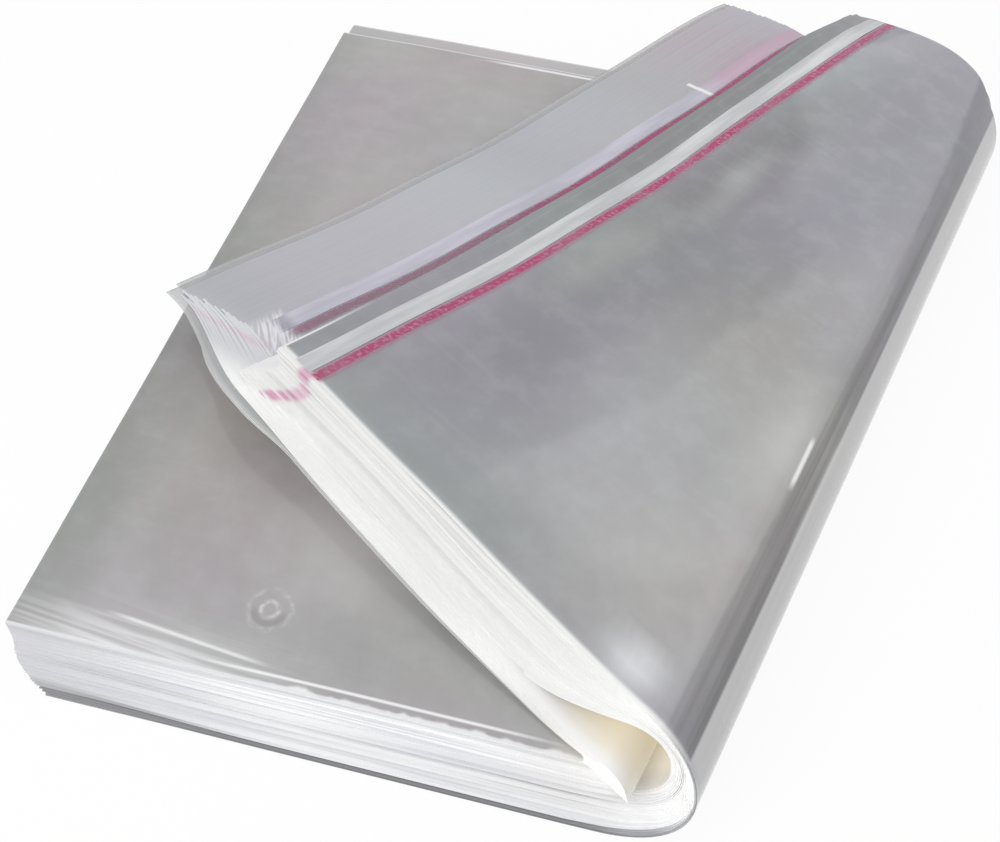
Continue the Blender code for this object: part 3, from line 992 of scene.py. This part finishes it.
def leaf_part(leaf):
    """The two faces of one sheet, what its materials read, and its material slots."""
    along, across = leaf_grid(leaf)
    outer, arc = leaf_shape(leaf, along, across, 1.0)
    inner, _ = leaf_shape(leaf, along, across, -1.0)
    bend = leaf.fold.bend
    opened = smooth((arc - 0.5 * bend) / (0.3 * bend))
    upper = smooth((arc / bend - 0.2) / 0.3)
    shaded = underside(leaf, along, arc, upper) * (1.0 - opened) * np.exp(-(across / 0.004) ** 2)
    from_edge = np.maximum(across - 0.001, 0.0) / 0.0062
    attributes = {
        "along": along,
        "across": across,
        "length": np.full_like(along, BAG_LENGTH + leaf.extra),
        "past": arc - DARK_TURN * leaf.fold.radius,
        "upper": upper,
        "tint": toward(tint_of(leaf, along, across, upper), TONES["bottom"], shaded),
        "wall": wall_of(leaf, along, arc, upper),
        "gleam": (1.0 - upper) * np.exp(-from_edge ** 2 - ((along - 0.028) / 0.030) ** 2),
        "tone": np.full_like(along, leaf.tone),
        "depth": np.full_like(along, leaf.depth),
        "frost": frost_of(leaf, along, across, arc, opened),
        "cream": smooth((arc + 0.004) / 0.010) * smooth(1.0 - (arc - bend) / 0.030),
    }
    first = leaf.rank == 0 and leaf.bundle in (0, OUTER_BUNDLES)
    inmost = leaf.rank > 1 and leaf.bundle == BUNDLES - 1
    face_slots = np.full((along.shape[0] - 1, along.shape[1] - 1), FILM if first or inmost else COVERED)
    if leaf.loose:
        face_slots[arc[:-1, :-1] > bend] = LOOSE
    return outer, inner, attributes, face_slots, RIM


def dress(piece, slot, *nodes):
    """Tie a finished piece to the frame."""
    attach(piece, "root")
    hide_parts(*nodes)


FIRST_LEAVES = {}
for bundle in range(BUNDLES):
    leaves = [Leaf(bundle, rank) for rank in range(LEAVES)]
    FIRST_LEAVES[bundle] = leaves[0]
    parts = [leaf_part(leaf) for leaf in leaves]
    piece = sheet_mesh(f"bags_{bundle + 1:02d}", parts, SHEET_MATERIALS)
    dress(piece, "film", f"bag_bundle_{bundle + 1:02d}")


def strip_piece(name, bundle, begin, end, thickness, material, slot, node):
    """A thin strip on the outer face of a bundle's first sheet."""
    along, across = np.meshgrid(np.linspace(begin, end, STRIP_CUTS), np.linspace(0.0, BAG_WIDTH, STRIP_ROWS))
    leaf = FIRST_LEAVES[bundle]
    upper_face, _ = leaf_shape(leaf, along, across, 1.0, STRIP_LIFT + thickness)
    lower_face, _ = leaf_shape(leaf, along, across, 1.0, STRIP_LIFT)
    attributes = {"along": along, "across": across}
    piece = sheet_mesh(name, [(upper_face, lower_face, attributes, 0, 0)], [material])
    dress(piece, slot, node)


LINER_BEGIN = BAG_LENGTH - LIP - LINER_WIDTH
ADHESIVE_END = LINER_BEGIN - STRIP_GAP
for label, bundle in (("outer", 0), ("inner", OUTER_BUNDLES)):
    strip_piece(
        f"liner_{label}", bundle, LINER_BEGIN, LINER_BEGIN + LINER_WIDTH, LINER_THICKNESS,
        LINERS[label], "liner", f"release_liner_{label}",
    )
    strip_piece(
        f"adhesive_{label}", bundle, ADHESIVE_END - ADHESIVE_SPAN, ADHESIVE_END, ADHESIVE_THICKNESS,
        ADHESIVES[label], "adhesive", f"adhesive_line_{label}",
    )


def make_camera():
    """The photograph's view."""
    level = Vector((math.sin(CAMERA_YAW), math.cos(CAMERA_YAW), 0.0))
    forward = level * math.cos(CAMERA_PITCH) - Vector((0.0, 0.0, math.sin(CAMERA_PITCH)))
    side = Vector((math.cos(CAMERA_YAW), -math.sin(CAMERA_YAW), 0.0))
    up = side.cross(forward)
    right = side * math.cos(CAMERA_ROLL) + up * math.sin(CAMERA_ROLL)
    top = up * math.cos(CAMERA_ROLL) - side * math.sin(CAMERA_ROLL)
    data = bpy.data.cameras.new("camera")
    data.sensor_width = 36.0
    data.lens = CAMERA_LENS
    data.clip_start = 0.01
    camera = bpy.data.objects.new("camera", data)
    turn = Matrix((right, top, -forward)).transposed().to_4x4()
    camera.matrix_world = Matrix.Translation(CAMERA_PLACE) @ turn
    bpy.context.collection.objects.link(camera)
    bpy.context.scene.camera = camera


def make_floor():
    """A plain white floor that keeps a soft shadow."""
    mesh = bpy.data.meshes.new("floor")
    signs = ((-1.0, -1.0), (1.0, -1.0), (1.0, 1.0), (-1.0, 1.0))
    mesh.from_pydata([(x * FLOOR_REACH, y * FLOOR_REACH, FLOOR_Z) for x, y in signs], [], [(0, 1, 2, 3)])
    floor = bpy.data.objects.new("floor", mesh)
    bpy.context.collection.objects.link(floor)
    g = Graph(bpy.data.materials.new("floor"))
    diffuse = g.node("ShaderNodeBsdfDiffuse")
    g.plug(diffuse.inputs["Color"], (FLOOR_WHITE, FLOOR_WHITE, FLOOR_WHITE))
    glow = g.node("ShaderNodeEmission")
    glow.inputs["Strength"].default_value = 1.0
    mesh.materials.append(g.output(g.mix_shaders(g.times(g.seen(), 0.92), diffuse, glow)))


def make_light(name, place, target, energy):
    data = bpy.data.lights.new(name, "AREA")
    data.shape = "SQUARE"
    data.size = LIGHT_SIZE
    data.energy = energy
    light = bpy.data.objects.new(name, data)
    light.location = place
    light.rotation_euler = (Vector(target) - Vector(place)).to_track_quat("-Z", "Y").to_euler()
    bpy.context.collection.objects.link(light)


def make_world():
    """White behind the object, an even grey light on it."""
    g = Graph(bpy.data.worlds.new("world"))
    plain = g.node("ShaderNodeBackground")
    g.plug(plain.inputs["Color"], (0.75, 0.75, 0.75))
    plain.inputs["Strength"].default_value = 0.72
    white = g.node("ShaderNodeBackground")
    g.plug(white.inputs["Color"], (1.0, 1.0, 1.0))
    bpy.context.scene.world = g.output(g.mix_shaders(g.seen(), plain, white), "ShaderNodeOutputWorld")


make_floor()
make_camera()
make_world()
for name, place, target, energy in LIGHTS:
    make_light(name, place, target, energy)
bpy.context.scene.view_settings.view_transform = "Standard"
